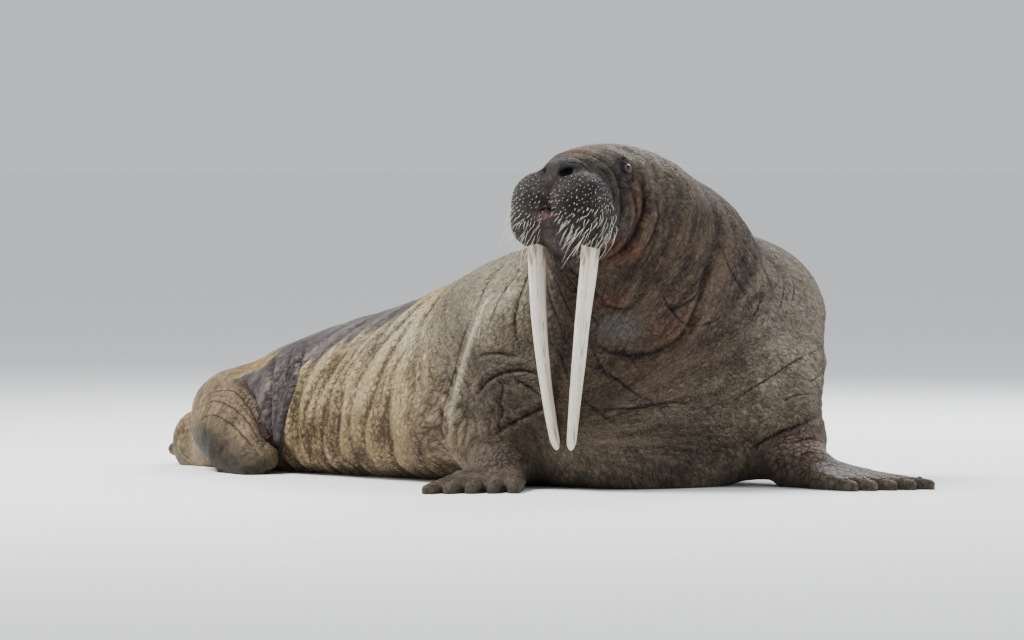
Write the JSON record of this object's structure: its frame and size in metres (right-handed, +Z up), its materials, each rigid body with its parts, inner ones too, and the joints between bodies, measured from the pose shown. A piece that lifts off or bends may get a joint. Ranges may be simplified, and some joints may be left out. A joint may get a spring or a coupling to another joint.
{
  "type": "walrus model",
  "caption": "Life-size museum model of a walrus lying on its belly, chest raised, head turned to its right, with bristled muzzle pads and long slim tusks.",
  "frame": {"origin": "on the floor, under the middle of the belly", "axes": "+X forward along the trunk, +Y to the animal's left, +Z up"},
  "size_m": [2.5384, 1.349, 0.9107],
  "materials": {
    "hide": "thick wrinkled hide: tan to olive on the flank, slate grey on the hips, brown on the neck, near-black on the muzzle and dark on the flippers, with thin short hair",
    "ivory": "ivory-white tusk with long fine cracks and yellow stains",
    "eye": "wet dark brown eye with a clear gloss",
    "bristle": "stiff pale horny bristles with a soft sheen",
    "claw": "small dark horny claws"
  },
  "bodies": {
    "root": {"muzzle_pad_right": "hide", "tusk_right": "ivory", "muzzle_pad_left": "hide", "tusk_left": "ivory", "lower_jaw": "hide", "head": "hide", "eye_right": "eye", "eye_left": "eye", "neck": "hide", "foreflipper_right": "hide", "forearm_right": "hide", "foreflipper_left": "hide", "forearm_left": "hide", "hind_leg_right": "hide", "hind_flipper_right": "hide", "hind_leg_left": "hide", "hind_flipper_left": "hide", "tail": "hide", "chest": "hide", "hips": "hide", "belly": "hide"}
  },
  "joints": []
}
